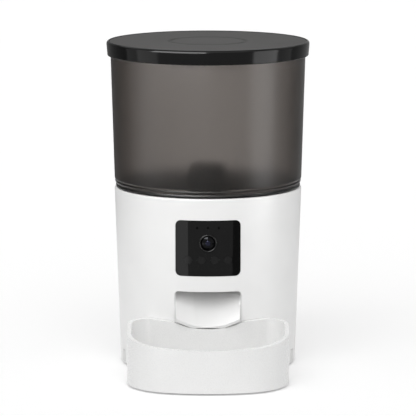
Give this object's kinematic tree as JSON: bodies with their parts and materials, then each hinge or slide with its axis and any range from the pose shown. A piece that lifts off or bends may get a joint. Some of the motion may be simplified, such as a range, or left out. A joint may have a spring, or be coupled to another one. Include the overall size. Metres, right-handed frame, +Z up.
{
  "type": "pet feeder with camera",
  "caption": "Tapered tower pet feeder with a lift-off smoky hopper and lid, a portion rotor driven through gears, a camera panel with push buttons, a chute and a pull-off bowl.",
  "frame": {"origin": "floor level on the tower's axis, at the middle of the foot ring", "axes": "+Z up along the tower's axis, -Y to the front, where the bowl and the camera are"},
  "size_m": [0.2104, 0.2882, 0.337],
  "materials": {
    "white_shell": "satin white moulded plastic",
    "white_inner": "plain moulded plastic",
    "gloss_black": "gloss black plastic",
    "black_inner": "matte black plastic",
    "inlay_grey": "fine matte texture",
    "smoky": "smoky frosted translucent plastic",
    "rubber": "matte",
    "steel": "plain",
    "bronze": "plain",
    "gear_plastic": "plain",
    "board_green": "satin solder mask",
    "cell_sleeve": "plain printed sleeve",
    "lens_glass": "coated glass"
  },
  "bodies": {
    "base": {"body_shell": "white_shell", "base_cover": "white_inner", "foot_ring": "rubber", "base_screws": "steel", "feed_deck": "white_inner", "deck_screws": "steel", "shaft_bush": "bronze", "feed_chute": "white_shell", "chute_screws": "steel", "camera_panel": "gloss_black", "lens_ring": "gloss_black", "lens_glass": "lens_glass", "lens_barrel": "black_inner", "sensor_windows": "black_inner", "front_board": "board_green", "front_board_screws": "steel", "tact_switches": "black_inner", "gearbox_case": "white_inner", "gearbox_screws": "steel", "idler_axle": "steel", "drive_motor": "steel", "motor_screws": "steel", "battery_cells": "cell_sleeve", "battery_contacts": "steel", "door_pins": "steel", "main_board": "board_green", "board_components": "black_inner", "main_board_screws": "steel", "speaker": "black_inner", "power_board": "board_green", "usb_inlet": "steel"},
    "hopper": {"hopper_tub": "smoky", "feed_funnel": "black_inner", "funnel_screws": "steel", "outlet_baffle": "rubber", "rotor_bush": "bronze"},
    "lid": {"lid_shell": "gloss_black", "lid_inlay": "inlay_grey", "lid_seal": "rubber", "desiccant_cup": "black_inner"},
    "desiccant_cap": {"desiccant_cap": "black_inner"},
    "rotor": {"rotor_hub": "black_inner", "rotor_blades": "rubber"},
    "output_gear": {"output_gear": "gear_plastic"},
    "idler_gear": {"idler_gear": "gear_plastic"},
    "motor_pinion": {"motor_pinion": "bronze"},
    "bowl": {"feeding_bowl": "white_shell", "bowl_feet": "rubber"},
    "battery_door": {"battery_door": "white_inner"},
    "button_1": {"button_1": "gloss_black"},
    "button_2": {"button_2": "gloss_black"},
    "button_3": {"button_3": "gloss_black"},
    "button_4": {"button_4": "gloss_black"}
  },
  "joints": [
    {"name": "hopper_lift", "type": "slide", "parent": "base", "child": "hopper", "axis": [0, 0, 1], "range_m": [0, 0.08]},
    {"name": "lid_lift", "type": "slide", "parent": "hopper", "child": "lid", "axis": [0, 0, 1], "range_m": [0, 0.05]},
    {"name": "desiccant_cap_twist", "type": "hinge", "parent": "lid", "child": "desiccant_cap", "pos_m": [0, 0, 0.312], "axis": [0, 0, 1], "range_deg": [0, 30]},
    {"name": "rotor_spin", "type": "hinge", "parent": "hopper", "child": "rotor", "pos_m": [0, 0, 0.12], "axis": [0, 0, 1], "continuous": true},
    {"name": "output_spin", "type": "hinge", "parent": "base", "child": "output_gear", "pos_m": [0, 0, 0.12], "axis": [0, 0, 1], "continuous": true},
    {"name": "idler_spin", "type": "hinge", "parent": "base", "child": "idler_gear", "pos_m": [0, 0.03, 0.12], "axis": [0, 0, 1], "continuous": true},
    {"name": "pinion_spin", "type": "hinge", "parent": "base", "child": "motor_pinion", "pos_m": [0, 0.055, 0.12], "axis": [0, 0, 1], "continuous": true},
    {"name": "bowl_pull", "type": "slide", "parent": "base", "child": "bowl", "axis": [0, -1, 0], "range_m": [0, 0.08]},
    {"name": "battery_door_swing", "type": "hinge", "parent": "base", "child": "battery_door", "pos_m": [0, 0.03795, 0.0048], "axis": [1, 0, 0], "range_deg": [0, 95]},
    {"name": "button_1_press", "type": "slide", "parent": "base", "child": "button_1", "axis": [0, 1, 0], "range_m": [0, 0.0007], "stiffness_N_per_m": 300},
    {"name": "button_2_press", "type": "slide", "parent": "base", "child": "button_2", "axis": [0, 1, 0], "range_m": [0, 0.0007], "stiffness_N_per_m": 300},
    {"name": "button_3_press", "type": "slide", "parent": "base", "child": "button_3", "axis": [0, 1, 0], "range_m": [0, 0.0007], "stiffness_N_per_m": 300},
    {"name": "button_4_press", "type": "slide", "parent": "base", "child": "button_4", "axis": [0, 1, 0], "range_m": [0, 0.0007], "stiffness_N_per_m": 300}
  ],
  "couplings": [
    {"joint": "output_spin", "follows": "rotor_spin", "ratio": 1},
    {"joint": "idler_spin", "follows": "rotor_spin", "ratio": -4},
    {"joint": "pinion_spin", "follows": "rotor_spin", "ratio": 16}
  ]
}
